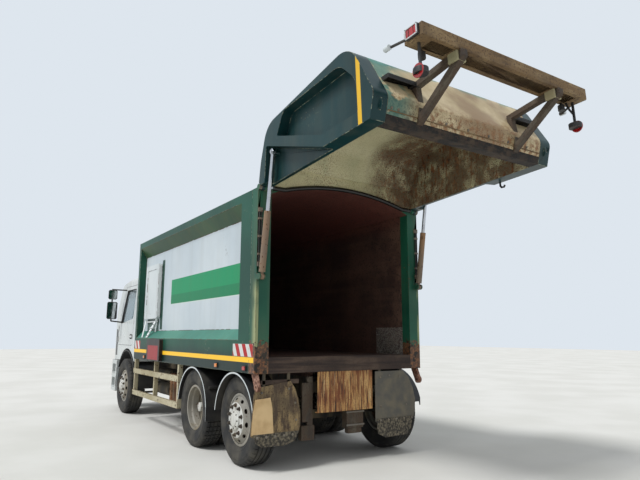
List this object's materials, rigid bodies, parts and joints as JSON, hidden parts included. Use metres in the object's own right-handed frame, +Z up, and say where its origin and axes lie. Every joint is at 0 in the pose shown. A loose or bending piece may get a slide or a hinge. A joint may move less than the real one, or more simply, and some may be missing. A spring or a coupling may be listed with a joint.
{
  "type": "garbage truck",
  "caption": "Rear-unloading refuse collection truck with a box body, standing with its bulged tailgate raised on lift cylinders.",
  "frame": {"origin": "on the ground under the middle of the bounding box", "axes": "+X forward to the cab, +Y to the truck's left, +Z up"},
  "size_m": [9.9044, 2.96, 4.1613],
  "materials": {
    "frame_green": "weathered satin",
    "side_panel": "weathered satin",
    "gate_cream": "rust-speckled paint",
    "rusty_steel": "rusted",
    "load_space": "worn and dirty",
    "chassis_paint": "dirty",
    "cab_white": "gloss, dusty",
    "wheel_paint": "dirty",
    "tyre_rubber": "worn",
    "black_plastic": "matt",
    "glass": "clear",
    "lamp_clear": "clear",
    "lamp_red": "gloss",
    "red_box": "satin",
    "guard_cream": "chipped and rusty",
    "flap_rubber": "dusty",
    "barrel_grey": "chipped",
    "rod_chrome": "polished",
    "seat_fabric": "woven",
    "hatch_white": "satin"
  },
  "bodies": {
    "chassis": {"chassis_frame": "chassis_paint", "engine_block": "chassis_paint", "front_axle": "chassis_paint", "drive_axle": "chassis_paint", "tag_axle": "chassis_paint", "body_floor": "load_space", "body_roof": "load_space", "body_front_wall": "load_space", "body_side_left": "side_panel", "body_side_right": "side_panel", "rear_frame": "frame_green", "cab_shell": "cab_white", "windscreen": "glass", "cab_grille": "black_plastic", "front_bumper": "cab_white", "headlamps": "lamp_clear", "cab_interior": "seat_fabric", "side_guards": "guard_cream", "mudguards": "black_plastic", "mud_flaps": "flap_rubber", "rear_plate": "rusty_steel", "tanks": "chassis_paint", "equipment_box": "red_box"},
    "tailgate": {"tailgate_skin": "gate_cream", "tailgate_side_left": "frame_green", "tailgate_side_right": "frame_green", "tailgate_edge_beam": "rusty_steel", "lamp_beam": "rusty_steel", "tail_lamps": "lamp_red"},
    "hatch": {"access_hatch": "hatch_white"},
    "track_rod": {"tie_rod": "chassis_paint"},
    "knuckle_left": {"knuckle_left": "chassis_paint"},
    "front_wheel_left": {"front_tyre_left": "tyre_rubber", "front_rim_left": "wheel_paint"},
    "drive_wheels_left": {"drive_tyres_left": "tyre_rubber", "drive_rims_left": "wheel_paint"},
    "tag_wheel_left": {"tag_tyre_left": "tyre_rubber", "tag_rim_left": "wheel_paint"},
    "cab_door_left": {"cab_door_left": "cab_white", "door_glass_left": "glass", "mirrors_left": "black_plastic"},
    "lift_barrel_left": {"lift_barrel_left": "barrel_grey"},
    "lift_rod_left": {"lift_rod_left": "rod_chrome"},
    "knuckle_right": {"knuckle_right": "chassis_paint"},
    "front_wheel_right": {"front_tyre_right": "tyre_rubber", "front_rim_right": "wheel_paint"},
    "drive_wheels_right": {"drive_tyres_right": "tyre_rubber", "drive_rims_right": "wheel_paint"},
    "tag_wheel_right": {"tag_tyre_right": "tyre_rubber", "tag_rim_right": "wheel_paint"},
    "cab_door_right": {"cab_door_right": "cab_white", "door_glass_right": "glass", "mirrors_right": "black_plastic"},
    "lift_barrel_right": {"lift_barrel_right": "barrel_grey"},
    "lift_rod_right": {"lift_rod_right": "rod_chrome"}
  },
  "joints": [
    {"name": "tailgate_swing", "type": "hinge", "parent": "chassis", "child": "tailgate", "pos_m": [-2.24775, 0, 3.23], "axis": [0, -1, 0], "range_deg": [0, 93.2]},
    {"name": "lift_tilt_left", "type": "hinge", "parent": "chassis", "child": "lift_barrel_left", "pos_m": [-2.29975, 1.21, 2.169], "axis": [0, -1, 0], "range_deg": [0, 11.93]},
    {"name": "lift_slide_left", "type": "slide", "parent": "lift_barrel_left", "child": "lift_rod_left", "axis": [0.1547, 0, -0.988], "range_m": [0, 0.61734]},
    {"name": "steer_left", "type": "hinge", "parent": "chassis", "child": "knuckle_left", "pos_m": [3.65225, 0.83, 0.52], "axis": [0, 0, 1], "range_deg": [-32, 32]},
    {"name": "front_spin_left", "type": "hinge", "parent": "knuckle_left", "child": "front_wheel_left", "pos_m": [3.65225, 1.045, 0.52], "axis": [0, 1, 0], "continuous": true},
    {"name": "drive_spin_left", "type": "hinge", "parent": "chassis", "child": "drive_wheels_left", "pos_m": [-0.31775, 0.913, 0.52], "axis": [0, 1, 0], "continuous": true},
    {"name": "tag_spin_left", "type": "hinge", "parent": "chassis", "child": "tag_wheel_left", "pos_m": [-1.70275, 1.045, 0.52], "axis": [0, 1, 0], "continuous": true},
    {"name": "cab_door_swing_left", "type": "hinge", "parent": "chassis", "child": "cab_door_left", "pos_m": [4.42625, 1.15, 1.53], "axis": [0, 0, -1], "range_deg": [0, 75]},
    {"name": "lift_tilt_right", "type": "hinge", "parent": "chassis", "child": "lift_barrel_right", "pos_m": [-2.29975, -1.21, 2.169], "axis": [0, -1, 0], "range_deg": [0, 11.93]},
    {"name": "lift_slide_right", "type": "slide", "parent": "lift_barrel_right", "child": "lift_rod_right", "axis": [0.1547, 0, -0.988], "range_m": [0, 0.61734]},
    {"name": "steer_right", "type": "hinge", "parent": "chassis", "child": "knuckle_right", "pos_m": [3.65225, -0.83, 0.52], "axis": [0, 0, 1], "range_deg": [-32, 32]},
    {"name": "front_spin_right", "type": "hinge", "parent": "knuckle_right", "child": "front_wheel_right", "pos_m": [3.65225, -1.045, 0.52], "axis": [0, 1, 0], "continuous": true},
    {"name": "drive_spin_right", "type": "hinge", "parent": "chassis", "child": "drive_wheels_right", "pos_m": [-0.31775, -0.913, 0.52], "axis": [0, 1, 0], "continuous": true},
    {"name": "tag_spin_right", "type": "hinge", "parent": "chassis", "child": "tag_wheel_right", "pos_m": [-1.70275, -1.045, 0.52], "axis": [0, 1, 0], "continuous": true},
    {"name": "cab_door_swing_right", "type": "hinge", "parent": "chassis", "child": "cab_door_right", "pos_m": [4.42625, -1.15, 1.53], "axis": [0, 0, 1], "range_deg": [0, 75]},
    {"name": "track_rod_pivot", "type": "hinge", "parent": "knuckle_left", "child": "track_rod", "pos_m": [3.46225, 0.83, 0.4], "axis": [0, 0, 1], "range_deg": [-32, 32]},
    {"name": "hatch_swing", "type": "hinge", "parent": "chassis", "child": "hatch", "pos_m": [2.42225, 1.172, 2.27], "axis": [0, 0, -1], "range_deg": [0, 95]}
  ],
  "couplings": [
    {"joint": "lift_tilt_left", "follows": "tailgate_swing", "ratio": 0.12741},
    {"joint": "lift_slide_left", "follows": "tailgate_swing", "m_per_rad": 0.37921},
    {"joint": "lift_tilt_right", "follows": "tailgate_swing", "ratio": 0.12741},
    {"joint": "lift_slide_right", "follows": "tailgate_swing", "m_per_rad": 0.37921},
    {"joint": "steer_right", "follows": "steer_left", "ratio": 1},
    {"joint": "track_rod_pivot", "follows": "steer_left", "ratio": -1}
  ]
}
